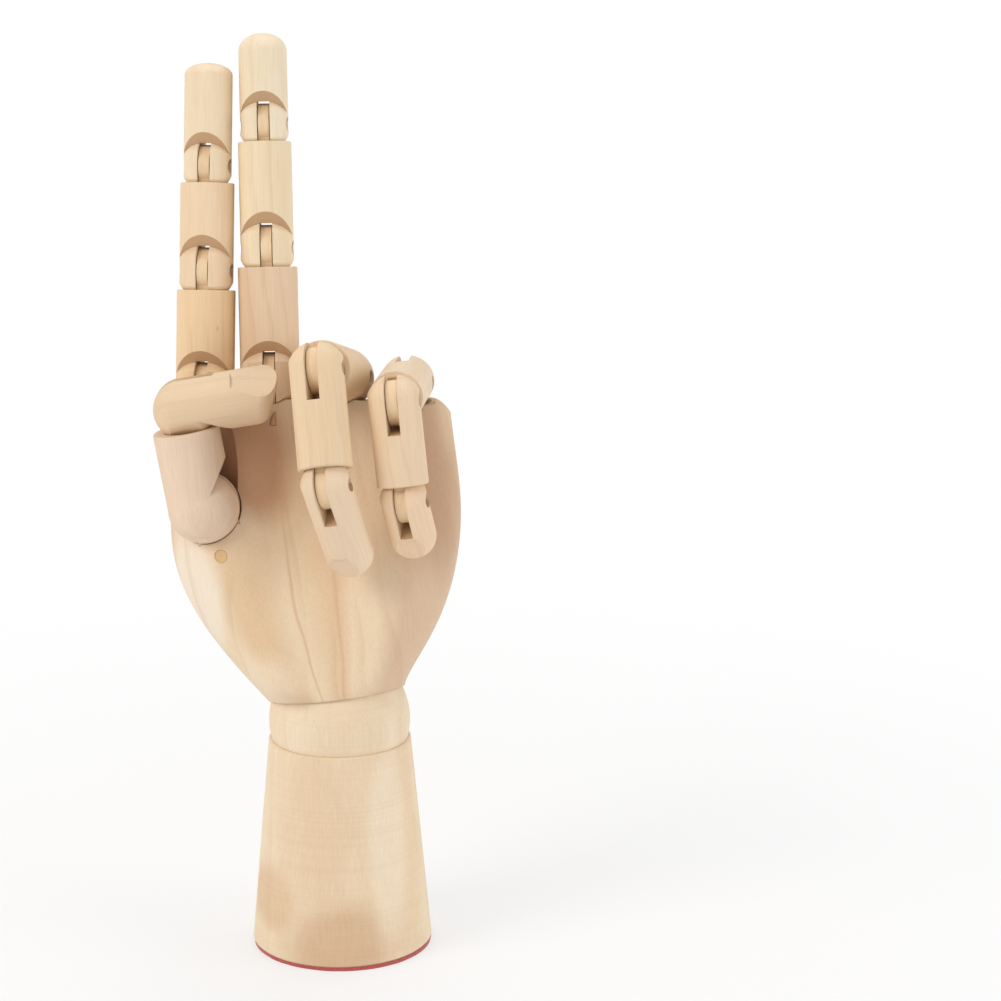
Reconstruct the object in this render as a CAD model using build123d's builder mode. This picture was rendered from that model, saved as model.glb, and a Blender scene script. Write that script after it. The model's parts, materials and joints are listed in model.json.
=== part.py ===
import math
import os

from build123d import *

os.makedirs("parts", exist_ok=True)

# A jointed wooden hand on a turned forearm base, palm towards -Y, fingers up, in millimetres.
# The origin is the middle of the felt's underside, on which the hand stands.

# Forearm base: a tapered turning with a bore for the wrist spring
base_bottom_radius = 28.5
base_top_radius = 22.4
base_height = 67.1
base_edge_chamfer = 0.5
base_bore_radius = 8.2
base_pocket_radius = 11.0
base_pocket_height = 27.0
felt_thickness = 1.1
felt_proud = 0.15
spring_pin_radius = 1.5
spring_pin_end_gap = 0.4

# Wrist ball: a wooden ball with a flat foot that turns on the base
wrist_ball_radius = 22.2
wrist_ball_foot_drop = 5.6
wrist_bore_radius = 8.2
wrist_bore_flare = 5.0
wrist_gap = 0.3

# Wrist spring, drawn between the pin in the base and the eye in the palm
spring_wire_radius = 0.6
spring_coil_radius = 3.3
spring_turns = 12
hook_leg = 1.6
hook_bend_radius = 1.0
hook_gap = 0.1
eye_hook_gap = 0.5
eye_ring_radius = 3.6
eye_wire_radius = 0.9
eye_shank_radius = 1.6
eye_shank_length = 11.0
eye_shank_gap = 0.05
eye_height = 31.0

# Palm: a carved block that stands on the wrist ball, here leaning back and towards the thumb
palm_back_angle = 10.5
palm_side_angle = 6.35
palm_foot_height = 8.4
palm_foot_wall = 0.8
palm_half_width = 46.0
palm_length = 104.5
palm_heel_depth = 23.0
palm_pad_depth = 8.8
palm_wrist_back_depth = 21.8
palm_top_back_depth = 10.8
palm_pocket_radius = 7.5
palm_pocket_end = 37.0

# Palm sections: height as a share of the palm's length, right and left width as shares of its half
# width, palm-side and back depth as shares of the way from top to heel, and the hollow's share
palm_section_shares = (
    (0.155, 0.578, 0.585, 0.99, 1.00, 0.00),
    (0.270, 0.759, 0.765, 0.83, 0.87, 0.03),
    (0.410, 0.900, 0.926, 0.68, 0.71, 0.07),
    (0.570, 0.980, 0.998, 0.44, 0.55, 0.20),
    (0.740, 0.993, 0.965, 0.22, 0.35, 0.42),
    (0.880, 0.987, 0.946, 0.06, 0.16, 0.34),
    (1.020, 0.930, 0.902, 0.00, 0.00, 0.06),
)
# Places round a section as shares of its width and depth, and which of them lie in the hollow
palm_back_shares = ((0.88, 0.58), (0.52, 0.92), (0.0, 1.0), (-0.52, 0.92), (-0.88, 0.58))
palm_front_shares = (
    (-0.88, 0.70, 0.0),
    (-0.56, 1.10, 0.0),
    (-0.19, 0.95, 1.0),
    (0.19, 0.95, 1.0),
    (0.56, 0.98, 0.0),
    (0.88, 0.60, 0.0),
)
# The knuckle end's outline as shares of half width and length
palm_top_shares = (
    (-1.08, 0.840),
    (-0.92, 0.925),
    (-0.65, 0.974),
    (-0.20, 0.985),
    (0.29, 0.958),
    (0.72, 0.930),
    (0.90, 0.925),
    (1.00, 0.875),
    (1.10, 0.780),
)

# Knuckles: the ball end of each segment turns on a wooden tongue that stands in the piece before it
pin_radius = 1.0
pin_running_gap = 0.08
pin_fit_gap = 0.02
pin_recess_radius = 2.3
pin_recess_depth = 2.0
tongue_thickness = 3.4
tongue_side_gap = 0.25
tongue_glue_gap = 0.05
mortise_depth = 8.0
dish_gap = 0.3
flex_gap = 0.5
rim_chamfer = 0.3
seat_gap = 0.5
pin_offset_share = 0.08
rim_drop_share = 0.7
ball_share = 1.09
tongue_share = 0.88
tongue_neck_share = 0.7
slot_end_share = 1.02
slot_end_angle = 9.0
knuckle_cut_angle = 50.0

# Fingertips: a dome and a small ledge with a flat that stands for the nail
dome_shares = (0.5, 0.75, 1.0, 1.0)
nail_length_share = 1.4
nail_ledge = 0.6
nail_angle = 14.0
nail_turn_angles = (0.0, 0.0, 12.0, 0.0)

# Fingers: the place of each knuckle as shares of the palm's half width and length, the radii of the
# root, mid and tip segments as shares of its half width, their lengths, the turn of each seat, and
# the bend at each knuckle
segment_names = ("root", "mid", "tip")
finger_names = ("index", "middle", "ring", "little")
finger_place_shares = ((-0.654, 1.0345), (-0.204, 1.042), (0.289, 1.0155), (0.717, 0.979))
finger_radius_shares = (
    (0.1989, 0.1826, 0.1620),
    (0.2022, 0.1804, 0.1630),
    (0.1978, 0.1804, 0.1630),
    (0.1804, 0.1717, 0.1565),
)
finger_lengths = ((36.5, 32.6, 31.9), (40.5, 38.3, 28.4), (35.4, 35.4, 31.9), (32.6, 30.2, 19.1))
finger_splay_angles = (7.4, 5.3, 3.0, 2.0)
finger_lean_angles = (0.0, 0.0, -0.5, 8.9)
finger_twist_angles = ((-5.0, 0.0, 0.0), (2.0, 0.0, 0.0), (-9.4, 3.7, 5.4), (-5.5, 2.3, 7.2))
finger_bend_angles = ((0.0, 0.0, 0.0), (0.0, 0.0, 0.0), (84.4, 85.8, 41.5), (89.0, 83.7, 27.3))
finger_most_bend_angle = 90.0

# Thumb: its knuckle pin runs from the palm side to the back, and its root ends in a full ball
thumb_segment_names = ("root", "tip")
thumb_place_shares = (-0.722, -0.609, 0.687)
thumb_radii = (10.3, 8.9)
thumb_lengths = (31.5, 28.4)
thumb_splay_angle = -24.0
thumb_lean_angle = 9.3
thumb_twist_angles = (87.0, -2.3)
thumb_bend_angles = (20.4, 90.2)
thumb_most_bend_angle = 92.0
thumb_root_cut_angle = 57.0
thumb_root_cut_share = 0.0
thumb_tip_cut_angle = 62.0
thumb_end_slant_angle = 23.0
thumb_end_radius = 4.4
thumb_nail_turn_angle = 37.0
thumb_swing_out_angle = 62.0
thumb_swing_in_angle = 15.0
thumb_swing_reach = 34.0
thumb_mortise_depth = 12.5
thumb_dowel_radius = 1.85
thumb_dowel_depth = 8.0
thumb_dowel_drop = 15.0
thumb_dowel_offset = 2.6

# How far cutting shapes run past what they cut
overrun = 60.0


def moved(frame, place=(0, 0, 0), turn=(0, 0, 0)):
    """A frame moved and turned within another one."""
    return Plane(frame.location * Location(place, turn))


def placed(frame, location):
    """A frame that lies at a location within another one."""
    return Plane(frame.location * location)


def seat_location(place, splay, lean, twist):
    """A knuckle pin's place on the palm: Z along the straight finger, X along the pin."""
    leaning = Location(place, (0, splay, 0)) * Location((0, 0, 0), (lean, 0, 0))
    return leaning * Location((0, 0, 0), (0, 0, twist))


def finish(builder, name):
    """Label a part and write it."""
    builder.part.label = name
    export_step(builder.part, f"parts/{name}.step")
    return builder


def cut_height(radius, front_reach, most_bend_angle, cut_angle):
    """Where the slanting cut crosses the pin's plane, so that the full bend just clears."""
    slope = math.tan(math.radians(cut_angle))
    drop = rim_drop_share * radius
    bend = math.radians(most_bend_angle)
    along = front_reach * math.sin(bend) - drop * math.cos(bend)
    inward = front_reach * math.cos(bend) + drop * math.sin(bend)
    return along - slope * inward + flex_gap


def cut_seat(radius, ball_radius, depth):
    """Cut the dish and the mortise of a knuckle into the part under way, at the place in use."""
    Sphere(ball_radius + dish_gap, mode=Mode.SUBTRACT)
    Box(
        tongue_thickness + 2 * tongue_glue_gap,
        2 * (tongue_neck_share * radius + tongue_glue_gap),
        rim_drop_share * radius + depth + tongue_glue_gap,
        align=(Align.CENTER, Align.CENTER, Align.MAX),
        mode=Mode.SUBTRACT,
    )


def make_segment(name, frame, radius, length, cut_at, cut_angle, full_ball, pin_sides, end_form, after):
    """One turned segment. Its pin lies on the frame's X axis and its palm side faces -Y."""
    ball_radius = ball_share * radius
    end = length if after is None else length - rim_drop_share * after["radius"]
    offset = pin_offset_share * radius
    # the round stick, with a dome or a slanting end at a tip and an eased rim elsewhere
    with BuildPart(frame) as stick:
        with BuildSketch(moved(frame, (0, offset, 0), (90, 0, 0))):
            with BuildLine():
                if after is not None:
                    Polyline(
                        (0, -overrun),
                        (radius, -overrun),
                        (radius, end - rim_chamfer),
                        (radius - rim_chamfer, end),
                        (0, end),
                        close=True,
                    )
                elif end_form["slant"]:
                    Polyline(
                        (0, -overrun),
                        (radius, -overrun),
                        (radius, end + overrun),
                        (0, end + overrun),
                        close=True,
                    )
                else:
                    shoulder = end - end_form["dome"] * radius
                    Polyline((0, end), (0, -overrun), (radius, -overrun), (radius, shoulder))
                    EllipticalCenterArc(
                        (0, shoulder), radius, end_form["dome"] * radius, start_angle=0, arc_size=90
                    )
            make_face()
        stick_frame = moved(frame, (0, offset, 0))
        revolve(axis=Axis(stick_frame.origin, stick_frame.z_dir))
        if after is None and end_form["slant"]:
            split(bisect_by=moved(frame, (0, offset, end), (end_form["slant"], 0, 0)), keep=Keep.BOTTOM)
            end_face = stick.faces().sort_by(Axis(stick_frame.origin, stick_frame.z_dir))[-1]
            fillet(end_face.edges(), radius=end_form["round"])
    # what the knuckle's end loses: all outside the ball that lies under the pin or the slanting cut
    with BuildPart(frame) as waste:
        Box(overrun, overrun, 2 * overrun, align=(Align.CENTER, Align.CENTER, Align.MAX))
        with Locations(Location((0, 0, cut_at), (-cut_angle, 0, 0))):
            Box(overrun, overrun, 2 * overrun, align=(Align.CENTER, Align.CENTER, Align.MAX))
        if not full_ball:
            Sphere(ball_radius, mode=Mode.SUBTRACT)
    with BuildPart() as segment:
        add(stick.part)
        add(waste.part, mode=Mode.SUBTRACT)
        if full_ball:
            with Locations(frame.location):
                Sphere(ball_radius)
        # the slot for the tongue, the pin's hole and its sunk ends
        slot_end = Location((0, 0, slot_end_share * radius), (slot_end_angle, 0, 0))
        with Locations(frame.location * slot_end):
            Box(
                tongue_thickness + 2 * tongue_side_gap,
                2 * overrun,
                overrun,
                align=(Align.CENTER, Align.CENTER, Align.MAX),
                mode=Mode.SUBTRACT,
            )
        with Locations(frame.location):
            Cylinder(
                pin_radius + pin_fit_gap,
                2 * (radius - pin_recess_depth),
                rotation=(0, 90, 0),
                mode=Mode.SUBTRACT,
            )
        for side in pin_sides:
            sunk_end = Location((side * (radius - pin_recess_depth), 0, 0), (0, side * 90, 0))
            with Locations(frame.location * sunk_end):
                Cylinder(
                    pin_recess_radius,
                    pin_recess_depth + ball_radius,
                    align=(Align.CENTER, Align.CENTER, Align.MIN),
                    mode=Mode.SUBTRACT,
                )
        if after is None:
            # the ledge and the flat that stand for the fingernail
            nail_start = end - nail_length_share * radius
            nail_turn = Location((0, offset, nail_start), (0, 0, end_form["nail_turn"]))
            nail_flat = Location((0, radius - nail_ledge, 0), (nail_angle, 0, 0))
            with Locations(frame.location * nail_turn * nail_flat):
                Box(
                    overrun,
                    overrun,
                    overrun,
                    align=(Align.CENTER, Align.MIN, Align.MIN),
                    mode=Mode.SUBTRACT,
                )
        else:
            # the dish for the next ball and the mortise for its tongue
            with Locations(frame.location * Location((0, 0, length), (0, 0, after["twist"]))):
                cut_seat(after["radius"], ball_share * after["radius"], mortise_depth)
    return finish(segment, name)


def make_tongue(name, seat, radius, depth, dowel_place):
    """The wooden plate that a knuckle turns on, glued into the piece before it."""
    reach = tongue_share * radius
    with BuildPart() as tongue:
        with BuildSketch(moved(seat, turn=(0, 90, 90))):
            Circle(reach)
            neck = tongue_neck_share * radius
            Rectangle(2 * neck, rim_drop_share * radius + depth, align=(Align.CENTER, Align.MAX))
            Circle(pin_radius + pin_running_gap, mode=Mode.SUBTRACT)
            if dowel_place is not None:
                with Locations(dowel_place):
                    Circle(thumb_dowel_radius + tongue_glue_gap, mode=Mode.SUBTRACT)
        extrude(amount=tongue_thickness / 2, both=True)
    return finish(tongue, name)


def make_pin(name, seat, radius):
    """The steel pin through a knuckle, its ends at the bottom of the sunk holes."""
    with BuildPart(seat) as pin:
        Cylinder(pin_radius, 2 * (radius - pin_recess_depth), rotation=(0, 90, 0))
    return finish(pin, name)


def arc_pair(start, start_way, end, end_way):
    """Draw two arcs that run smoothly from one place and direction to another."""
    chord = end - start
    turn = 2 * (1 - start_way.dot(end_way))
    along = chord.dot(start_way + end_way)
    reach = (math.sqrt(along**2 + turn * chord.dot(chord)) - along) / turn
    middle = (start + start_way * reach + end - end_way * reach) * 0.5
    TangentArc(start, middle, tangent=start_way)
    TangentArc(middle, end, tangent=end - end_way * reach - middle)


ball_height = felt_thickness + base_height + wrist_ball_foot_drop
palm_tilt = Location((0, 0, 0), (-palm_back_angle, -palm_side_angle, 0))
palm_frame = Plane(Location((0, 0, ball_height)) * palm_tilt)

# Forearm base
with BuildPart() as forearm_base:
    with BuildSketch(Plane.XZ):
        with BuildLine():
            Polyline(
                (0, felt_thickness),
                (base_bottom_radius - base_edge_chamfer, felt_thickness),
                (base_bottom_radius, felt_thickness + base_edge_chamfer),
                (base_top_radius, felt_thickness + base_height - base_edge_chamfer),
                (base_top_radius - base_edge_chamfer, felt_thickness + base_height),
                (0, felt_thickness + base_height),
                close=True,
            )
        make_face()
    revolve(axis=Axis.Z)
    with Locations((0, 0, felt_thickness)):
        for cut_radius, cut_length in (
            (base_bore_radius, base_height),
            (base_pocket_radius, base_pocket_height),
        ):
            Cylinder(
                cut_radius,
                cut_length,
                align=(Align.CENTER, Align.CENTER, Align.MIN),
                mode=Mode.SUBTRACT,
            )
finish(forearm_base, "forearm_base")

# Felt disc under the base
with BuildPart() as base_felt:
    Cylinder(
        base_bottom_radius - base_edge_chamfer + felt_proud,
        felt_thickness,
        align=(Align.CENTER, Align.CENTER, Align.MIN),
    )
finish(base_felt, "base_felt")

# Pin across the base's pocket, pulled up against the shoulder of the bore by the spring
spring_pin_height = felt_thickness + base_pocket_height - spring_pin_radius
with BuildPart(Plane.XY.offset(spring_pin_height)) as spring_pin:
    Cylinder(spring_pin_radius, 2 * (base_pocket_radius - spring_pin_end_gap), rotation=(90, 0, 0))
finish(spring_pin, "spring_pin")

# Wrist ball with its flat foot, and a bore that widens upwards for the leaning spring
with BuildPart() as wrist_ball:
    with BuildSketch(Plane.XZ.offset(0)):
        with Locations((0, ball_height)):
            Circle(wrist_ball_radius)
        with Locations((0, ball_height - wrist_ball_foot_drop)):
            Rectangle(
                2 * wrist_ball_radius, wrist_ball_radius, align=(Align.CENTER, Align.MAX), mode=Mode.SUBTRACT
            )
        with BuildLine():
            Polyline(
                (-wrist_ball_radius, ball_height - wrist_ball_radius),
                (wrist_bore_radius, ball_height - wrist_ball_radius),
                (wrist_bore_radius, ball_height),
                (wrist_bore_radius + wrist_bore_flare, ball_height + wrist_ball_radius),
                (-wrist_ball_radius, ball_height + wrist_ball_radius),
                close=True,
            )
        make_face(mode=Mode.SUBTRACT)
    revolve(axis=Axis.Z)
finish(wrist_ball, "wrist_ball")

# Screw eye in the palm, on the line from the wrist's middle up the palm
with BuildPart(moved(palm_frame, (0, 0, eye_height))) as spring_eye:
    Torus(eye_ring_radius, eye_wire_radius, rotation=(0, 90, 0))
    with Locations((0, 0, eye_ring_radius)):
        Cylinder(eye_shank_radius, eye_shank_length, align=(Align.CENTER, Align.CENTER, Align.MIN))
finish(spring_eye, "spring_eye")

# Wrist spring: one wire from its lower hook through the coil to its upper hook
hook_reach = spring_coil_radius - spring_wire_radius
lower_bar = Vector(0, 0, spring_pin_height)
upper_bar = moved(palm_frame, (0, 0, eye_height - eye_ring_radius)).origin
bar_distance = (upper_bar - lower_bar).length
spring_frame = Plane(lower_bar, x_dir=(1, 0, 0), z_dir=upper_bar - lower_bar)
lower_arc_height = hook_reach - hook_gap - spring_pin_radius
upper_arc_height = bar_distance - hook_reach + eye_hook_gap + eye_wire_radius
coil_start = lower_arc_height + hook_leg + hook_bend_radius
coil_end = upper_arc_height - hook_leg - hook_bend_radius
spring_pitch = (coil_end - coil_start) / spring_turns
coil_rise = spring_pitch / (2 * math.pi)


def spring_place(across, out, up):
    """A place in the spring's frame, seen from outside."""
    return spring_frame.from_local_coords(Vector(across, out, up))


def spring_way(across, out, up):
    """A direction in the spring's frame, seen from outside."""
    return (spring_place(across, out, up) - spring_frame.origin).normalized()


with BuildPart() as wrist_spring:
    with BuildLine() as spring_path:
        # the lower hook, its leg and the bend into the coil
        hook_side = -hook_bend_radius
        ThreePointArc(
            spring_place(-spring_coil_radius, hook_side, lower_arc_height),
            spring_place(0, hook_side, lower_arc_height - spring_coil_radius),
            spring_place(spring_coil_radius, hook_side, lower_arc_height),
        )
        leg_end = spring_place(spring_coil_radius, hook_side, lower_arc_height + hook_leg)
        Line(spring_place(spring_coil_radius, hook_side, lower_arc_height), leg_end)
        place = spring_place(spring_coil_radius, 0, coil_start)
        way = spring_way(0, 1, 0)
        arc_pair(leg_end, spring_way(0, 0, 1), place, way)
        # the coil, half a turn at a time
        for half_turn in range(1, 2 * spring_turns + 1):
            side = -1 if half_turn % 2 else 1
            next_height = coil_start + half_turn * spring_pitch / 2
            next_place = spring_place(side * spring_coil_radius, 0, next_height)
            next_way = spring_way(0, side * spring_coil_radius, coil_rise)
            if half_turn == 2 * spring_turns:
                next_way = spring_way(0, 1, 0)
            arc_pair(place, way, next_place, next_way)
            place = next_place
            way = next_way
        # the bend out of the coil, the leg and the upper hook
        hook_side = hook_bend_radius
        leg_end = spring_place(spring_coil_radius, hook_side, upper_arc_height - hook_leg)
        arc_pair(place, way, leg_end, spring_way(0, 0, 1))
        Line(leg_end, spring_place(spring_coil_radius, hook_side, upper_arc_height))
        ThreePointArc(
            spring_place(spring_coil_radius, hook_side, upper_arc_height),
            spring_place(0, hook_side, upper_arc_height + spring_coil_radius),
            spring_place(-spring_coil_radius, hook_side, upper_arc_height),
        )
    wire_path = spring_path.wires()[0]
    with BuildSketch(Plane(wire_path @ 0, z_dir=wire_path % 0)):
        Circle(spring_wire_radius)
    sweep(path=wire_path)
finish(wrist_spring, "wrist_spring")
print("wrist spring: least gap between turns", round(spring_pitch - 2 * spring_wire_radius, 2), "mm")

# Fingers and thumb: every segment with its pin, and the tongue that it turns on
digits = []
for number, finger in enumerate(finger_names):
    across_share, up_share = finger_place_shares[number]
    digits.append(
        {
            "name": finger,
            "segments": segment_names,
            "place": (across_share * palm_half_width, 0, up_share * palm_length),
            "splay": finger_splay_angles[number],
            "lean": finger_lean_angles[number],
            "radii": [share * palm_half_width for share in finger_radius_shares[number]],
            "lengths": finger_lengths[number],
            "twists": finger_twist_angles[number],
            "bends": finger_bend_angles[number],
            "most_bend": finger_most_bend_angle,
            "pin_sides": (-1, 1),
            "end_form": {"dome": dome_shares[number], "slant": 0, "nail_turn": nail_turn_angles[number]},
        }
    )
across_share, deep_share, up_share = thumb_place_shares
thumb = {
    "name": "thumb",
    "segments": thumb_segment_names,
    "place": (across_share * palm_half_width, deep_share * palm_heel_depth, up_share * palm_length),
    "splay": thumb_splay_angle,
    "lean": thumb_lean_angle,
    "radii": thumb_radii,
    "lengths": thumb_lengths,
    "twists": thumb_twist_angles,
    "bends": thumb_bend_angles,
    "most_bend": thumb_most_bend_angle,
    "pin_sides": (1,),
    "end_form": {
        "slant": thumb_end_slant_angle,
        "round": thumb_end_radius,
        "nail_turn": thumb_nail_turn_angle,
    },
}
digits.append(thumb)

knuckles = []
for digit in digits:
    digit["seat"] = seat_location(digit["place"], digit["splay"], digit["lean"], digit["twists"][0])
    seat = placed(palm_frame, digit["seat"])
    lean = math.radians(digit["lean"])
    drop = rim_drop_share * digit["radii"][0]
    front_reach = (palm_pad_depth + drop * math.sin(lean)) / math.cos(lean)
    for number, segment in enumerate(digit["segments"]):
        radius = digit["radii"][number]
        length = digit["lengths"][number]
        frame = moved(seat, turn=(digit["bends"][number], 0, 0))
        is_thumb_root = digit is thumb and number == 0
        cut_angle = knuckle_cut_angle
        if digit is thumb:
            cut_angle = thumb_root_cut_angle if is_thumb_root else thumb_tip_cut_angle
        cut_at = thumb_root_cut_share * radius
        if not is_thumb_root:
            cut_at = cut_height(radius, front_reach, digit["most_bend"], cut_angle)
        after = None
        if number + 1 < len(digit["segments"]):
            after = {
                "radius": digit["radii"][number + 1],
                "twist": digit["twists"][number + 1],
            }
        make_segment(
            f"{digit['name']}_{segment}",
            frame,
            radius,
            length,
            cut_at,
            cut_angle,
            is_thumb_root,
            digit["pin_sides"],
            digit["end_form"],
            after,
        )
        make_tongue(
            f"{digit['name']}_{segment}_tongue",
            seat,
            radius,
            thumb_mortise_depth if is_thumb_root else mortise_depth,
            (thumb_dowel_offset, -thumb_dowel_drop) if is_thumb_root else None,
        )
        make_pin(f"{digit['name']}_{segment}_pin", frame, radius)
        knuckles.append((digit["name"], segment, seat))
        front_reach = (1 - pin_offset_share) * radius
        if after is not None:
            seat = moved(frame, (0, 0, length), (0, 0, after["twist"]))


def palm_section_points(shares):
    """The points round one palm section."""
    _, right, left, front, back, hollow = shares
    front_depth = palm_pad_depth + front * (palm_heel_depth - palm_pad_depth)
    back_depth = palm_top_back_depth + back * (palm_wrist_back_depth - palm_top_back_depth)
    points = [(right * palm_half_width, 0)]
    for across, deep in palm_back_shares:
        points.append((across * (right if across > 0 else left) * palm_half_width, deep * back_depth))
    points.append((-left * palm_half_width, 0))
    for across, deep, in_hollow in palm_front_shares:
        width = right if across > 0 else left
        points.append((across * width * palm_half_width, (in_hollow * hollow - deep) * front_depth))
    return points


# Palm
with BuildPart(palm_frame) as palm:
    cup_radius = wrist_ball_radius + wrist_gap
    with BuildSketch(palm_frame.offset(palm_foot_height)):
        Circle(math.sqrt(cup_radius**2 - palm_foot_height**2) + palm_foot_wall)
    for section in palm_section_shares:
        with BuildSketch(palm_frame.offset(section[0] * palm_length)):
            with BuildLine():
                Spline(*palm_section_points(section), periodic=True)
            make_face()
    loft()
    palm_block = palm.part
    # the rounded knuckle end
    with BuildSketch(moved(palm_frame, turn=(90, 0, 0))):
        with BuildLine():
            top_points = [(across * palm_half_width, up * palm_length) for across, up in palm_top_shares]
            Spline(*top_points)
            Polyline(
                top_points[-1],
                (top_points[-1][0], palm_length + overrun),
                (top_points[0][0], palm_length + overrun),
                top_points[0],
            )
        make_face()
    extrude(amount=overrun, both=True, mode=Mode.SUBTRACT)
    # the cup for the wrist ball, and the pocket for the spring and its eye
    Sphere(cup_radius, mode=Mode.SUBTRACT)
    for cut_radius, cut_length in (
        (palm_pocket_radius, palm_pocket_end),
        (eye_shank_radius + eye_shank_gap, eye_height + eye_ring_radius + eye_shank_length + eye_shank_gap),
    ):
        Cylinder(cut_radius, cut_length, align=(Align.CENTER, Align.CENTER, Align.MIN), mode=Mode.SUBTRACT)
    # the seats of the fingers and of the thumb
    for digit in digits:
        root_radius = digit["radii"][0]
        with Locations(digit["seat"]):
            depth = thumb_mortise_depth if digit is thumb else mortise_depth
            cut_seat(root_radius, ball_share * root_radius, depth)
        if digit is not thumb:
            room = root_radius + seat_gap
            floor = Location((0, pin_offset_share * root_radius, -rim_drop_share * root_radius))
            with Locations(digit["seat"] * floor):
                Cylinder(room, overrun, align=(Align.CENTER, Align.CENTER, Align.MIN), mode=Mode.SUBTRACT)
                Box(
                    2 * room,
                    overrun,
                    overrun,
                    align=(Align.CENTER, Align.MAX, Align.MIN),
                    mode=Mode.SUBTRACT,
                )
    # the room that the thumb's root swings through
    thumb_frame = placed(palm_frame, thumb["seat"])
    room = thumb_radii[0] + seat_gap
    bend_start = thumb_bend_angles[0] + thumb_swing_in_angle
    bend_end = thumb_bend_angles[0] - thumb_swing_out_angle
    with BuildSketch(moved(thumb_frame, turn=(bend_start + 90, 0, 0))):
        Rectangle(2 * room, thumb_swing_reach, align=(Align.CENTER, Align.MIN))
    revolve(
        axis=Axis(thumb_frame.origin, thumb_frame.x_dir),
        revolution_arc=bend_end - bend_start,
        mode=Mode.SUBTRACT,
    )
    stick_place = Location((0, pin_offset_share * thumb_radii[0], 0))
    for bend in (bend_start, bend_end):
        with Locations(thumb["seat"] * Location((0, 0, 0), (bend, 0, 0)) * stick_place):
            Cylinder(
                room,
                thumb_swing_reach,
                align=(Align.CENTER, Align.CENTER, Align.MIN),
                mode=Mode.SUBTRACT,
            )
    # the hole for the dowel that holds the thumb's tongue
    dowel_end = Location((thumb_dowel_depth, thumb_dowel_offset, -thumb_dowel_drop), (0, 90, 0))
    with Locations(thumb["seat"] * dowel_end):
        Cylinder(
            thumb_dowel_radius + tongue_glue_gap,
            overrun,
            align=(Align.CENTER, Align.CENTER, Align.MAX),
            mode=Mode.SUBTRACT,
        )
finish(palm, "palm")

# Dowel through the thumb's tongue, its end flush with the heel of the palm
with BuildPart() as thumb_dowel:
    with Locations(palm_frame.location * thumb["seat"] * dowel_end):
        Cylinder(thumb_dowel_radius, overrun, align=(Align.CENTER, Align.CENTER, Align.MAX))
    add(palm_block, mode=Mode.INTERSECT)
finish(thumb_dowel, "thumb_dowel")
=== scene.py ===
import json
import math

import bmesh
import bpy
from mathutils import Matrix, Vector, noise


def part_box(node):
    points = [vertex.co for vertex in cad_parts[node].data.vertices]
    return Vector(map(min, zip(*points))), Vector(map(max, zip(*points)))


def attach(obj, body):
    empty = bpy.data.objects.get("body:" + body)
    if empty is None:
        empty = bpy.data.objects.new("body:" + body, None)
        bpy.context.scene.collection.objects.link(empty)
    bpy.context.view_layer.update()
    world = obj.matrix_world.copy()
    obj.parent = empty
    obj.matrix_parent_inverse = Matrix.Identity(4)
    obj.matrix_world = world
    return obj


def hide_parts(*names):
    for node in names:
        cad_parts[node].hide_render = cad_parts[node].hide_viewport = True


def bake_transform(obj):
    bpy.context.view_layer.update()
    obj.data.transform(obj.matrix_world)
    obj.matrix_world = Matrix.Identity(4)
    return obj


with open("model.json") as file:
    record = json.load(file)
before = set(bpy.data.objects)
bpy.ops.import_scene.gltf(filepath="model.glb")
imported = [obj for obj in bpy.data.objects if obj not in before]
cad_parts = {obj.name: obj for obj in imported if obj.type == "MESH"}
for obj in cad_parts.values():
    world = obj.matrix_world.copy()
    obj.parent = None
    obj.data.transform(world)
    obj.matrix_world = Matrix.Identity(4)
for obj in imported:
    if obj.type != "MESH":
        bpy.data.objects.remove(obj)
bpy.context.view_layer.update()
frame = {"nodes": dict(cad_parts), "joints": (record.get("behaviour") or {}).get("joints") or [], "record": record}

nodes = frame["nodes"]
record = frame["record"]
scene = bpy.context.scene

MM = 0.001


# Colours


def linear(code):
    """The linear colour of an sRGB hex value."""
    parts = [int(code[i : i + 2], 16) / 255 for i in (1, 3, 5)]
    return [c / 12.92 if c <= 0.04045 else ((c + 0.055) / 1.055) ** 2.4 for c in parts] + [1.0]


# Material nodes


def add(tree, kind, settings=None, values=None, links=None, stops=None):
    """Add a node with its settings, its socket values, the sockets that feed it and a ramp's stops."""
    node = tree.nodes.new("ShaderNode" + kind)
    for name, value in (settings or {}).items():
        setattr(node, name, value)
    for socket, value in (values or {}).items():
        node.inputs[socket].default_value = value
    for socket, source in (links or {}).items():
        tree.links.new(source, node.inputs[socket])
    for step, (place, colour) in enumerate(stops or ()):
        elements = node.color_ramp.elements
        stop = elements[step] if step < len(elements) else elements.new(place)
        stop.position = place
        stop.color = linear(colour) if isinstance(colour, str) else [colour] * 3 + [1.0]
    return node


def new_material(name):
    """A material with only its output and its main shader."""
    material = bpy.data.materials.new(name)
    material.use_nodes = True
    tree = material.node_tree
    tree.nodes.clear()
    shader = add(tree, "BsdfPrincipled")
    add(tree, "OutputMaterial", links={"Surface": shader.outputs["BSDF"]})
    return material, tree, shader


# Wood


# the sizes of its marks across and along the grain, in millimetres
STREAK = (15, 75)
WANDER = (22, 60)
RING_FADE = (18, 50)
FIBRE = (0.4, 20)
FLECK_CELL = (8, 20)
TOOL_MARK = (60, 0.8)
# at scale 1 the rings of the wave texture lie this far apart, in millimetres
WAVE_GAP = 0.314
# half the height that a carved block's bands cover, in millimetres, and how far they waver, as a
# share of its half width
BAND_REACH = 50
BAND_WAVER = 0.16
# where the bands are gone and where they are whole, behind and above the block's middle, in millimetres
BAND_BACK = (12, 4)
BAND_TOP = (22, -8)
# where a patch is gone and where it is whole, as shares of its size, to which the grain adds about 0.5
PATCH_FADE = (1.75, 1.05)


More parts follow.
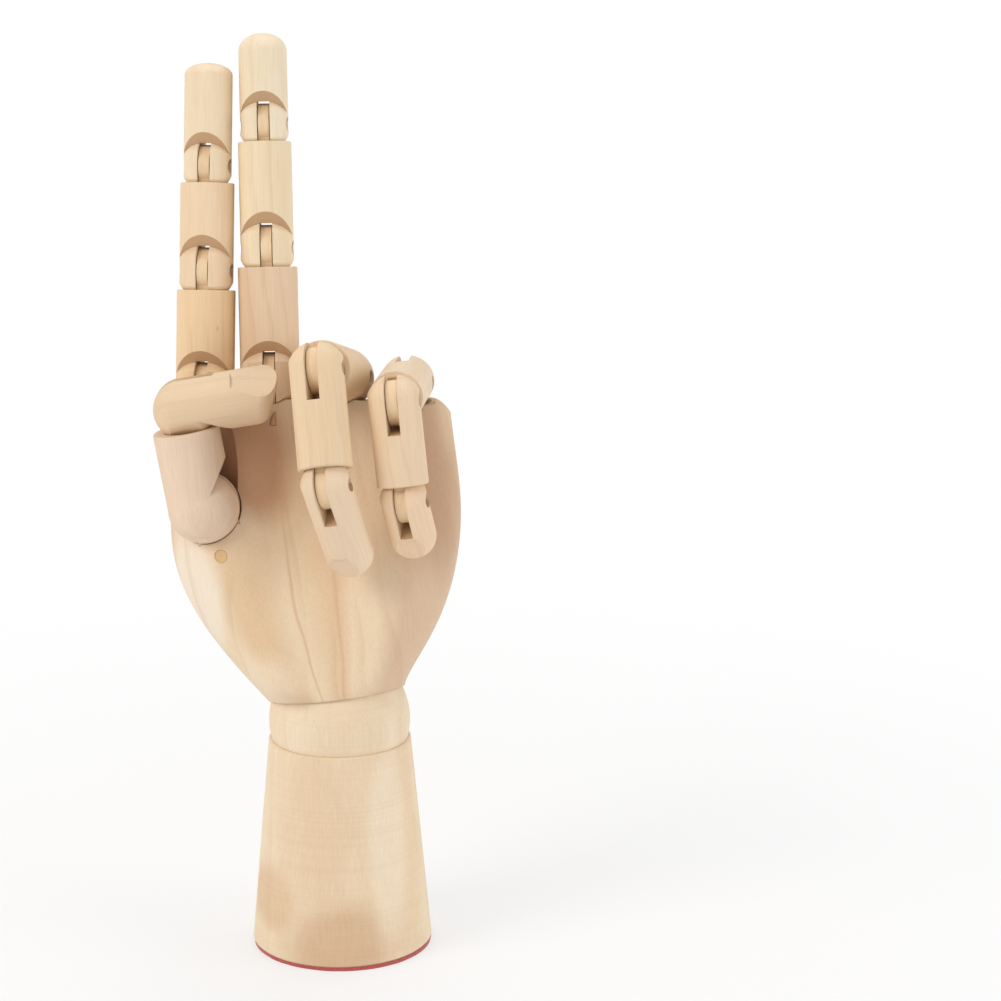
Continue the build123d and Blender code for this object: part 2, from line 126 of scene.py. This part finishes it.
def sanded_wood(
    name,
    tones,
    axes,
    origin,
    seed,
    ring_gap=5.0,
    figure=0.4,
    turned=0.0,
    end_grain_and_shade="#C6A480",
    ease=0.35,
    bands=None,
    patches=(),
):
    """Schima superba, a pale close-grained hardwood, turned or carved, fine sanded and left bare.

    It gives the eye a dull cream face with soft pink-tan streaks along the grain, thin faint growth
    lines, a few short dark flecks and darker cut ends, which also carry painted shade. The grain runs along the
    third of the axes.
    ring_gap and ease, the radius of the edges, are in millimetres; figure and turned are the
    strengths of the growth lines and of the tool marks.
    """
    pale, tan, growth = tones
    material, tree, shader = new_material(name)
    where = add(tree, "TexCoord")
    turn = Matrix(axes)
    shift = -1000 * (turn @ Vector(origin))
    # the place in millimetres from the origin, along the piece's own axes
    place = add(
        tree,
        "Mapping",
        values={"Rotation": turn.to_euler(), "Scale": [1000] * 3, "Location": shift},
        links={"Vector": where.outputs["Object"]},
    ).outputs["Vector"]

    def grain(kind, settings, values, size, offset):
        """A pattern whose features have a size across and along the grain, in millimetres."""
        across, along = size
        scale = [1 / across, 1 / across, 1 / along]
        # each seed and each offset shows another place of the endless pattern
        drift = [seed * 3.7 + offset, seed * 5.3 - offset, seed * 1.9 + offset]
        spread = add(tree, "Mapping", values={"Scale": scale, "Location": drift}, links={"Vector": place})
        return add(tree, kind, settings, values, links={"Vector": spread.outputs["Vector"]}).outputs

    # streaks of heartwood, 15 mm across and drawn out 75 mm along the grain
    streak = grain("TexNoise", {}, {"Scale": 1.0, "Detail": 2.0, "Distortion": 0.5}, STREAK, 0)
    face = add(tree, "ValToRGB", links={"Fac": streak["Fac"]}, stops=[(0.36, pale), (0.66, tan)])
    face_colour = face.outputs["Color"]
    wander = grain("TexNoise", {}, {"Scale": 1.0, "Detail": 2.0}, WANDER, 7)

    if bands:
        # bands of the carved block, which fan out with its outline from the wrist to the knuckles
        level = add(tree, "SeparateXYZ", links={"Vector": place})
        height = add(
            tree,
            "MapRange",
            values={"From Min": -BAND_REACH, "From Max": BAND_REACH},
            links={"Value": level.outputs["Z"]},
        )
        half = add(tree, "ValToRGB", links={"Fac": height.outputs["Result"]}, stops=bands["outline"])
        half = add(tree, "Math", {"operation": "MULTIPLY"}, {1: BAND_REACH}, {0: half.outputs["Color"]})
        side = add(tree, "Math", {"operation": "SUBTRACT"}, {1: bands["centre"]}, {0: level.outputs["X"]})
        side = add(
            tree,
            "Math",
            {"operation": "DIVIDE"},
            links={0: side.outputs["Value"], 1: half.outputs["Value"]},
        )
        waver = add(
            tree,
            "Math",
            {"operation": "MULTIPLY_ADD"},
            {1: BAND_WAVER, 2: -BAND_WAVER / 2},
            {0: wander["Fac"]},
        )
        side = add(
            tree,
            "Math",
            {"operation": "ADD"},
            links={0: side.outputs["Value"], 1: waver.outputs["Value"]},
        )
        side = add(
            tree,
            "MapRange",
            values={"From Min": -1, "From Max": 1},
            links={"Value": side.outputs["Value"]},
        )
        band = add(tree, "ValToRGB", links={"Fac": side.outputs["Result"]}, stops=bands["tones"])
        # they fade out towards the block's back and towards its knuckles
        front = add(
            tree,
            "MapRange",
            {"interpolation_type": "SMOOTHSTEP"},
            {"From Min": BAND_BACK[0], "From Max": BAND_BACK[1]},
            {"Value": level.outputs["Y"]},
        )
        low = add(
            tree,
            "MapRange",
            {"interpolation_type": "SMOOTHSTEP"},
            {"From Min": BAND_TOP[0], "From Max": BAND_TOP[1]},
            {"Value": level.outputs["Z"]},
        )
        shown = add(
            tree,
            "Math",
            {"operation": "MULTIPLY"},
            links={0: front.outputs["Result"], 1: low.outputs["Result"]},
        )
        banded = add(
            tree,
            "Mix",
            {"data_type": "RGBA"},
            links={"Factor": shown.outputs["Value"], "A": face_colour, "B": band.outputs["Color"]},
        )
        face_colour = banded.outputs["Result"]

    for centre, size, colour, amount in patches:
        # a soft patch of another tone, which on the palm's hollow and little-finger side and on one tongue's foot
        # is painted shade, its edge drawn in and out by the grain
        spread = add(
            tree,
            "Mapping",
            values={"Scale": [1 / s for s in size], "Location": [-c / s for c, s in zip(centre, size)]},
            links={"Vector": place},
        )
        reach = add(tree, "VectorMath", {"operation": "LENGTH"}, links={0: spread.outputs["Vector"]})
        reach = add(tree, "Math", {"operation": "ADD"}, links={0: reach.outputs["Value"], 1: wander["Fac"]})
        amount = add(
            tree,
            "MapRange",
            {"interpolation_type": "SMOOTHSTEP"},
            {"From Min": PATCH_FADE[0], "From Max": PATCH_FADE[1], "To Max": amount},
            {"Value": reach.outputs["Value"]},
        )
        patched = add(
            tree,
            "Mix",
            {"data_type": "RGBA"},
            {"B": linear(colour)},
            {"Factor": amount.outputs["Result"], "A": face_colour},
        )
        face_colour = patched.outputs["Result"]

    # growth lines, as far apart as the rings, cut by the face at a low angle; the pith lies 30 to 47 mm
    # to the side of the piece's origin, at another place for each seed
    pith = [30 + seed * 4.1 % 17, 26 - seed * 6.7 % 31, 0]
    rings_at = add(
        tree,
        "Mapping",
        values={"Location": pith, "Rotation": [0.035, 0.05, 0], "Scale": [1, 1, 0.35]},
        links={"Vector": place},
    )
    rings = add(
        tree,
        "TexWave",
        {"wave_type": "RINGS", "rings_direction": "Z", "wave_profile": "SAW"},
        {
            "Scale": WAVE_GAP / ring_gap,
            "Distortion": 4.5,
            "Detail": 2.0,
            "Detail Scale": 0.9,
            "Detail Roughness": 0.5,
        },
        {"Vector": rings_at.outputs["Vector"]},
    )
    line = add(
        tree,
        "ValToRGB",
        links={"Fac": rings.outputs["Fac"]},
        stops=[(0.62, 0.0), (0.93, 1.0), (1.0, 0.0)],
    )
    fade = grain("TexNoise", {}, {"Scale": 1.0, "Detail": 1.0}, RING_FADE, 11)
    fade = add(
        tree,
        "MapRange",
        values={"From Min": 0.42, "From Max": 0.62, "To Max": 0.42 * figure},
        links={"Value": fade["Fac"]},
    )
    strength = add(
        tree,
        "Math",
        {"operation": "MULTIPLY"},
        links={0: line.outputs["Color"], 1: fade.outputs["Result"]},
    )
    face = add(
        tree,
        "Mix",
        {"data_type": "RGBA"},
        {"B": linear(growth)},
        {"Factor": strength.outputs["Value"], "A": face_colour},
    )

    # fibres are 0.05 mm wide, drawn 0.4 mm wide and 20 mm long so that they show
    fibre = grain("TexNoise", {}, {"Scale": 1.0, "Detail": 3.0, "Roughness": 0.6}, FIBRE, 23)
    fibre_tone = add(
        tree,
        "ValToRGB",
        links={"Fac": fibre["Fac"]},
        stops=[(0.3, "#F8F4F0"), (0.7, "#FFFFFF")],
    )
    face = add(
        tree,
        "Mix",
        {"data_type": "RGBA", "blend_type": "MULTIPLY"},
        {"Factor": 1.0},
        {"A": face.outputs["Result"], "B": fibre_tone.outputs["Color"]},
    )

    # resin flecks 0.4 mm wide and 1 mm long, one in every few cells of 8 by 20 mm
    fleck = grain("TexVoronoi", {}, {"Scale": 1.0}, FLECK_CELL, 31)
    spot = add(tree, "ValToRGB", links={"Fac": fleck["Distance"]}, stops=[(0.02, 1.0), (0.06, 0.0)])
    chosen = add(tree, "SeparateColor", links={"Color": fleck["Color"]})
    chosen = add(tree, "Math", {"operation": "GREATER_THAN"}, {1: 0.55}, {0: chosen.outputs["Red"]})
    spot = add(
        tree,
        "Math",
        {"operation": "MULTIPLY"},
        links={0: spot.outputs["Color"], 1: chosen.outputs["Value"]},
    )
    spot = add(tree, "Math", {"operation": "MULTIPLY"}, {1: 0.35}, {0: spot.outputs["Value"]})
    face = add(
        tree,
        "Mix",
        {"data_type": "RGBA"},
        {"B": linear("#A67E5B")},
        {"Factor": spot.outputs["Value"], "A": face.outputs["Result"]},
    )

    # marks of the turning tool, rings 0.8 mm apart round the piece
    tool = grain("TexNoise", {}, {"Scale": 1.0, "Detail": 2.0}, TOOL_MARK, 43)
    tool_tone = add(tree, "ValToRGB", links={"Fac": tool["Fac"]}, stops=[(0.3, "#EFE6DC"), (0.6, "#FFFFFF")])
    face = add(
        tree,
        "Mix",
        {"data_type": "RGBA", "blend_type": "MULTIPLY"},
        {"Factor": turned},
        {"A": face.outputs["Result"], "B": tool_tone.outputs["Color"]},
    )

    # the cut across the grain over the pin drinks in the sanding dust and is darker; its colour also paints in the
    # shade that falls on these cuts, which face back towards the pin
    foot = add(
        tree,
        "VectorMath",
        {"operation": "DOT_PRODUCT"},
        {1: [-a for a in axes[2]]},
        {0: where.outputs["Normal"]},
    )
    foot = add(
        tree,
        "MapRange",
        values={"From Min": 0.3, "From Max": 0.6},
        links={"Value": foot.outputs["Value"]},
    )
    level = add(tree, "SeparateXYZ", links={"Vector": place})
    over = add(
        tree,
        "MapRange",
        values={"From Min": 0.2, "From Max": 0.8},
        links={"Value": level.outputs["Z"]},
    )
    cut = add(
        tree,
        "Math",
        {"operation": "MULTIPLY"},
        links={0: foot.outputs["Result"], 1: over.outputs["Result"]},
    )
    face = add(
        tree,
        "Mix",
        {"data_type": "RGBA"},
        {"B": linear(end_grain_and_shade)},
        {"Factor": cut.outputs["Value"], "A": face.outputs["Result"]},
    )

    tree.links.new(face.outputs["Result"], shader.inputs["Base Color"])
    sheen = add(tree, "MapRange", values={"To Min": 0.52, "To Max": 0.66}, links={"Value": fibre["Fac"]})
    tree.links.new(sheen.outputs["Result"], shader.inputs["Roughness"])
    shader.inputs["IOR"].default_value = 1.45
    shader.inputs["Specular IOR Level"].default_value = 0.35
    # the sanding eases the edges, and the flecks are shallow pits
    eased = add(tree, "Bevel", {"samples": 6}, {"Radius": ease * MM})
    height = add(tree, "Math", {"operation": "ADD"}, links={0: fibre["Fac"], 1: spot.outputs["Value"]})
    bump = add(
        tree,
        "Bump",
        {"invert": True},
        {"Strength": 0.10, "Distance": 0.12 * MM},
        {"Height": height.outputs["Value"], "Normal": eased.outputs["Normal"]},
    )
    tree.links.new(bump.outputs["Normal"], shader.inputs["Normal"])
    return material


# Pieces from the frame

body_of_node = {node: body for body, members in record["behaviour"]["bodies"].items() for node in members}
joint_of = {joint["child"]: joint for joint in frame["joints"]}

# edges that turn by more than this stay sharp, on the wood and on the felt
SMOOTH_ANGLE = math.radians(30)
FELT_ANGLE = math.radians(50)
# corners nearer to each other than this are one, in millimetres
WELD = 0.002


def wood_copy(name, material):
    """The named solid with its corners joined and its turned faces shaded smooth, in its wood."""
    mesh = nodes[name].data.copy()
    mesh.materials.clear()
    mesh.materials.append(material)
    if "custom_normal" in mesh.attributes:
        mesh.attributes.remove(mesh.attributes["custom_normal"])
    form = bmesh.new()
    form.from_mesh(mesh)
    bmesh.ops.remove_doubles(form, verts=form.verts, dist=WELD * MM)
    for face in form.faces:
        face.smooth = True
    form.to_mesh(mesh)
    form.free()
    mesh.set_sharp_from_angle(angle=SMOOTH_ANGLE)
    piece = bpy.data.objects.new(name + "_turned", mesh)
    scene.collection.objects.link(piece)
    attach(piece, body_of_node[name])
    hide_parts(name)


def middle_of(name):
    """The middle of a solid's box."""
    low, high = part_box(name)
    return (Vector(low) + Vector(high)) / 2


def stick_axes(name):
    """A stick's own axes, along its pin, from back to front and along the grain, and its pin's place."""
    joint = joint_of[name]
    pin = Vector(joint["pos_m"])
    across = Vector(joint["axis"]).normalized()
    corners = [v.co for v in nodes[name].data.vertices]
    along = sum(corners, Vector()) / len(corners) - pin
    along = (along - across * along.dot(across)).normalized()
    return [list(across), list(along.cross(across)), list(along)], pin


# each stick is cut from another length of wood: its pale face, its streaks and its growth lines
STICK_TONES = {
    "index_tip": ("#EEDCBF", "#EAD5B6", "#CDA77E"),
    "index_mid": ("#EDD5B6", "#E8CDAC", "#C79E74"),
    "index_root": ("#EFD5B0", "#EACCA4", "#C69B6C"),
    "middle_tip": ("#F0E3C9", "#ECDCC0", "#CFAC86"),
    "middle_mid": ("#EFDEBF", "#EBD7B5", "#CBA57A"),
    "middle_root": ("#E6CDB0", "#E0C3A4", "#BC9470"),
    "ring_root": ("#E6CEAE", "#E1C5A3", "#C0966F"),
    "ring_mid": ("#EAD4B3", "#E5CCAA", "#C79F76"),
    "ring_tip": ("#E9D3B8", "#E5CCAF", "#C49E83"),
    "little_root": ("#ECDABF", "#E7D1B5", "#C7A180"),
    "little_mid": ("#EAD3B6", "#E5CCAD", "#C69E77"),
    "little_tip": ("#EDD5B7", "#E8CCAC", "#C29B7A"),
    "thumb_root": ("#E9D4BD", "#E4CCB3", "#C7A283"),
    "thumb_tip": ("#E6CFB0", "#E1C6A5", "#C29971"),
}
seed = 0
for stick, tones in STICK_TONES.items():
    seed += 1
    axes, pin = stick_axes(stick)
    wood_copy(stick, sanded_wood("schima_" + stick, tones, axes, pin, seed))

UPRIGHT = [[1, 0, 0], [0, 1, 0], [0, 0, 1]]
palm_joint = joint_of["palm"]
palm_up = (middle_of("palm") - Vector(palm_joint["pos_m"])).normalized()
palm_back = Vector(palm_joint["axis"])
palm_back = (palm_back - palm_up * palm_back.dot(palm_up)).normalized()
palm_axes = [list(palm_back.cross(palm_up)), list(palm_back), list(palm_up)]
# the palm block's figure across its front, from the thumb side: sapwood, a tan heart band, two thin
# growth arcs in the middle, and pinker wood down the little finger's side, whose darker tone is partly painted
# shade.
# The outline gives the palm's half width, as a share of the reach, from the wrist up.
SAPWOOD, HEARTWOOD, PINK_WOOD_AND_SHADE, GROWTH_ARC = "#EAD6B8", "#E1C5A2", "#D9BEA2", "#D8B797"
PALM_BANDS = {
    "centre": 1.8,
    "outline": [
        (0.05, 0.40),
        (0.12, 0.53),
        (0.19, 0.63),
        (0.27, 0.72),
        (0.34, 0.79),
        (0.41, 0.85),
        (0.5, 0.89),
        (0.62, 0.92),
    ],
    "tones": [
        (0.13, SAPWOOD),
        (0.20, HEARTWOOD),
        (0.28, HEARTWOOD),
        (0.37, SAPWOOD),
        (0.384, SAPWOOD),
        (0.392, GROWTH_ARC),
        (0.40, SAPWOOD),
        (0.53, HEARTWOOD),
        (0.545, GROWTH_ARC),
        (0.554, HEARTWOOD),
        (0.60, SAPWOOD),
        (0.70, SAPWOOD),
        (0.81, PINK_WOOD_AND_SHADE),
        (0.92, PINK_WOOD_AND_SHADE),
    ],
}
# the palm's patches, each with its middle and size in millimetres, its colour and its strength:
# painted shade in the hollow under the thumb and the folded fingers and down the little finger's side, pale by the
# thumb and over the wrist
PALM_TONES_AND_SHADE = (
    # painted shade in the hollow, where the thumb and the folded fingers shade the palm
    ((-14, -8, 34), (20, 24, 19), "#B88D6D", 0.9),
    # painted shade down the little finger's side
    ((40, -8, 18), (12, 26, 34), "#BE9A7E", 0.85),
    ((-36, -8, -6), (10, 22, 22), "#F2E6D5", 0.85),
    ((-20, -18, -36), (12, 16, 12), "#EFDFC6", 0.6),
)
wood_copy(
    "palm",
    sanded_wood(
        "schima_palm",
        ("#E9D3B5", "#E0C4A2", "#C49D7C"),
        palm_axes,
        middle_of("palm"),
        seed=21,
        ring_gap=9.0,
        figure=0.5,
        end_grain_and_shade="#D2AE86",
        ease=0.6,
        bands=PALM_BANDS,
        patches=PALM_TONES_AND_SHADE,
    ),
)
wood_copy(
    "wrist_ball",
    sanded_wood(
        "schima_wrist_ball",
        ("#EFDFC4", "#EAD5B7", "#D0AE8A"),
        UPRIGHT,
        middle_of("wrist_ball"),
        seed=22,
        ring_gap=8.0,
        turned=0.15,
        end_grain_and_shade="#D8B88E",
    ),
)
# the base's patches: tan over the felt and low on the left, a fainter tan in the middle, and pale on
# the right
BASE_PATCHES = (
    ((1.5, -26, -27), (17, 18, 17), "#D9B998", 0.9),
    ((-21, -16, -15), (10, 14, 10), "#E0C2A0", 0.8),
    ((-6, -22, 8), (15, 15, 30), "#E8CFB0", 0.7),
    ((15, -19, 2), (6, 14, 34), "#F3E4CB", 0.8),
)
wood_copy(
    "forearm_base",
    sanded_wood(
        "schima_forearm_base",
        ("#F0DFC3", "#EAD3B4", "#D2AF8C"),
        UPRIGHT,
        middle_of("forearm_base"),
        seed=23,
        ring_gap=14.0,
        turned=0.2,
        end_grain_and_shade="#D8B88E",
        patches=BASE_PATCHES,
    ),
)

# the tongues are of one warmer wood, whose tones are made lighter to paint in the light that their recess in the
# slots takes away
TONGUE_TONES_PAINTED_LIGHTER = ("#EFD6B2", "#E3C6A0", "#C29A72")
for name in sorted(nodes):
    if name.endswith("_tongue"):
        seed += 1
        axes, pin = stick_axes(name[: -len("_tongue")])
        # a sliver of one tongue's foot shows in the palm's hollow, sanded with it and darkened with the same
        # painted shade
        foot = [((0, 0, -15), (8, 16, 9), "#BD9474", 0.95)] if name == "middle_root_tongue" else ()
        wood = sanded_wood(
            "schima_" + name,
            TONGUE_TONES_PAINTED_LIGHTER,
            axes,
            pin,
            seed,
            end_grain_and_shade="#DDBE98",
            ease=0.2,
            patches=foot,
        )
        wood_copy(name, wood)
wood_copy(
    "thumb_dowel",
    sanded_wood(
        "beech_dowel_end",
        ("#E2C190", "#D8B27E", "#B98C5C"),
        palm_axes,
        middle_of("thumb_dowel"),
        seed=41,
        ring_gap=0.9,
        end_grain_and_shade="#D8B684",
        ease=0.1,
    ),
)


def pressed_felt():
    """Red pressed wool felt: matted fibres give the eye a dull, slightly blotched red with no shine."""
    material, tree, shader = new_material("wool_felt")
    where = add(tree, "TexCoord").outputs["Object"]
    # wool fibres are 0.03 mm thick, drawn in tufts of 0.5 mm so that they show
    tufts = add(
        tree,
        "TexNoise",
        values={"Scale": 1 / (0.5 * MM), "Detail": 3.0, "Distortion": 1.5},
        links={"Vector": where},
    ).outputs["Fac"]
    colour = add(tree, "ValToRGB", links={"Fac": tufts}, stops=[(0.3, "#A33C40"), (0.7, "#CB6660")])
    tree.links.new(colour.outputs["Color"], shader.inputs["Base Color"])
    shader.inputs["Roughness"].default_value = 0.95
    shader.inputs["Sheen Weight"].default_value = 0.4
    bump = add(tree, "Bump", values={"Strength": 0.5, "Distance": 0.15 * MM}, links={"Height": tufts})
    tree.links.new(bump.outputs["Normal"], shader.inputs["Normal"])
    return material


# the felt's edge, in millimetres: its two rims inwards, how deep the part is that wanders, how far it
# wanders, and how far it stands out on the right
FELT_RIMS = (0.5, 2.0)
FELT_EDGE = 0.2
FELT_WANDER = 0.16
FELT_OUT = 0.35
# its steps round the disc, how densely it wanders, and how many radians the place where it stands out
# lies in front of the right
FELT_STEPS = 180
FELT_WAVES = 6
FELT_FORWARD = 0.6


def felt_disc():
    """The felt under the base, cut by hand: its edge wanders, and stands out most on the right."""
    low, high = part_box("base_felt")
    radius = (high[0] - low[0]) / 2
    form = bmesh.new()
    bmesh.ops.create_circle(form, cap_ends=True, radius=radius, segments=FELT_STEPS)
    for rim in FELT_RIMS:
        middle = [face for face in form.faces if len(face.verts) > 4]
        bmesh.ops.inset_region(form, faces=middle, thickness=rim * MM)
    top = bmesh.ops.extrude_face_region(form, geom=form.faces[:])["geom"]
    lifted = [item for item in top if isinstance(item, bmesh.types.BMVert)]
    bmesh.ops.translate(form, verts=lifted, vec=(0, 0, high[2] - low[2]))
    bmesh.ops.translate(form, verts=form.verts, vec=(0, 0, low[2]))
    for point in form.verts:
        reach = point.co.xy.length
        if reach > radius - FELT_EDGE * MM:
            side = math.atan2(point.co.y, point.co.x)
            wave = Vector((math.cos(side) * FELT_WAVES, math.sin(side) * FELT_WAVES, point.co.z / MM))
            wander = noise.noise(wave)
            right = max(0.0, math.cos(side + FELT_FORWARD)) ** 2
            grow = 1 + (FELT_WANDER * wander + FELT_OUT * right) * MM / reach
            point.co.x *= grow
            point.co.y *= grow
    for face in form.faces:
        face.smooth = True
    bmesh.ops.recalc_face_normals(form, faces=form.faces)
    mesh = bpy.data.meshes.new("felt_disc")
    form.to_mesh(mesh)
    form.free()
    mesh.set_sharp_from_angle(angle=FELT_ANGLE)
    mesh.materials.append(pressed_felt())
    piece = bpy.data.objects.new("felt_disc", mesh)
    scene.collection.objects.link(piece)
    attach(piece, body_of_node["base_felt"])
    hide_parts("base_felt")


felt_disc()


def steel_wire(name, tone, dark, rough):
    """Drawn steel wire: dull grey with fine blotches of bloom and a soft shine."""
    material, tree, shader = new_material(name)
    where = add(tree, "TexCoord").outputs["Object"]
    # bloom in blotches of 1.2 mm
    bloom = add(
        tree, "TexNoise", values={"Scale": 1 / (1.2 * MM), "Detail": 4.0}, links={"Vector": where}
    ).outputs["Fac"]
    colour = add(tree, "ValToRGB", links={"Fac": bloom}, stops=[(0.35, dark), (0.65, tone)])
    tree.links.new(colour.outputs["Color"], shader.inputs["Base Color"])
    haze = add(tree, "MapRange", values={"To Min": rough, "To Max": rough + 0.2}, links={"Value": bloom})
    tree.links.new(haze.outputs["Result"], shader.inputs["Roughness"])
    shader.inputs["Metallic"].default_value = 1.0
    return material


pin_steel = steel_wire("cut_steel_pin", "#9A958C", "#6E675E", 0.35)
zinc_steel = steel_wire("zinc_plated_eye", "#B9B7B0", "#8F8D88", 0.30)
for name, node in nodes.items():
    if name.endswith("_pin") or name == "spring_eye":
        node.data.materials.clear()
        node.data.materials.append(zinc_steel if name == "spring_eye" else pin_steel)


def bending_spring():
    """The wrist spring, which bends inside the ball in the real hand; here one fixed copy in drawn steel wire,
    upright in the base and tilted in the palm.
    """
    mesh = nodes["wrist_spring"].data.copy()
    mesh.materials.clear()
    mesh.materials.append(steel_wire("drawn_spring_wire", "#8B8A88", "#6A6866", 0.28))
    piece = bpy.data.objects.new("wrist_spring_coil", mesh)
    scene.collection.objects.link(piece)
    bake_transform(piece)
    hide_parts("wrist_spring")


bending_spring()


# Studio


# all in metres: half the floor's width, and where its white begins and is whole
FLOOR_REACH = 12.0
WHITE_FROM = 0.04
WHITE_TO = 0.45


def studio_floor():
    """A pale seamless floor that shows white to the camera and keeps a soft shadow near the object."""
    form = bmesh.new()
    bmesh.ops.create_grid(form, x_segments=1, y_segments=1, size=FLOOR_REACH)
    mesh = bpy.data.meshes.new("studio_floor")
    form.to_mesh(mesh)
    form.free()
    floor = bpy.data.objects.new("studio_floor", mesh)
    scene.collection.objects.link(floor)
    material, tree, shader = new_material("white_sweep")
    shader.inputs["Base Color"].default_value = linear("#EFEEEE")
    shader.inputs["Roughness"].default_value = 0.9
    # half white beside the object, and all white farther away
    where = add(tree, "TexCoord").outputs["Object"]
    reach = add(tree, "VectorMath", {"operation": "LENGTH"}, links={0: where})
    spread = add(
        tree,
        "MapRange",
        {"interpolation_type": "SMOOTHSTEP"},
        {"From Min": WHITE_FROM, "From Max": WHITE_TO, "To Min": 0.55, "To Max": 1.0},
        {"Value": reach.outputs["Value"]},
    )
    path = add(tree, "LightPath")
    looks = add(
        tree,
        "Math",
        {"operation": "ADD"},
        links={0: path.outputs["Is Camera Ray"], 1: path.outputs["Is Glossy Ray"]},
    )
    looks = add(
        tree,
        "Math",
        {"operation": "ADD", "use_clamp": True},
        links={0: looks.outputs["Value"], 1: path.outputs["Is Transmission Ray"]},
    )
    white = add(tree, "Emission", values={"Color": linear("#FFFFFF"), "Strength": 1.0})
    seen = add(
        tree,
        "Math",
        {"operation": "MULTIPLY"},
        links={0: looks.outputs["Value"], 1: spread.outputs["Result"]},
    )
    blend = add(
        tree,
        "MixShader",
        links={"Fac": seen.outputs["Value"], 1: shader.outputs["BSDF"], 2: white.outputs["Emission"]},
    )
    out = next(n for n in tree.nodes if n.type == "OUTPUT_MATERIAL")
    tree.links.new(blend.outputs["Shader"], out.inputs["Surface"])
    mesh.materials.append(material)


# the soft boxes: place and size in metres, watts and tint; they all point at the palm
LAMP_TARGET = Vector((0, 0, 0.15))
LAMPS = {
    "key_box": ((-1.3, -0.9, 1.2), 1.0, 16.0, "#FFFAF3"),
    "side_box": ((1.5, -0.5, 0.4), 1.2, 10.0, "#FFFDFA"),
    "top_box": ((0.1, 0.4, 1.6), 1.2, 8.0, "#FFFFFF"),
}


def soft_lamp(name, place, size, watts, tint):
    """A square soft box that points at the object."""
    data = bpy.data.lights.new(name, "AREA")
    data.shape = "SQUARE"
    data.size = size
    data.energy = watts
    data.color = linear(tint)[:3]
    lamp = bpy.data.objects.new(name, data)
    lamp.location = place
    lamp.rotation_euler = (LAMP_TARGET - Vector(place)).to_track_quat("-Z", "Y").to_euler()
    scene.collection.objects.link(lamp)


studio_floor()
for name, (place, size, watts, tint) in LAMPS.items():
    soft_lamp(name, place, size, watts, tint)

# the air is white to the camera and lights the object with about half of that
AIR_LIGHT = 0.55
world = bpy.data.worlds.new("studio_air")
scene.world = world
world.use_nodes = True
air = world.node_tree
air.nodes.clear()
path = add(air, "LightPath")
glow = add(
    air,
    "MapRange",
    values={"To Min": AIR_LIGHT, "To Max": 1.0},
    links={"Value": path.outputs["Is Camera Ray"]},
)
sky = add(air, "Background", values={"Color": linear("#FFFFFF")}, links={"Strength": glow.outputs["Result"]})
add(air, "OutputWorld", links={"Surface": sky.outputs["Background"]})
scene.view_settings.view_transform = "Standard"

# the camera stands where the photograph was taken from, and looks down a little
CAMERA_PLACE = (0.05073, -0.8992, 0.37724)
CAMERA_DOWN = 14.5
CAMERA_LENS = 107.9
CAMERA_SENSOR = 36.0
camera_data = bpy.data.cameras.new("studio_camera")
camera_data.lens = CAMERA_LENS
camera_data.sensor_width = CAMERA_SENSOR
camera_data.clip_end = 100.0
camera = bpy.data.objects.new("studio_camera", camera_data)
camera.location = CAMERA_PLACE
camera.rotation_euler = (math.radians(90 - CAMERA_DOWN), 0, 0)
scene.collection.objects.link(camera)
scene.camera = camera
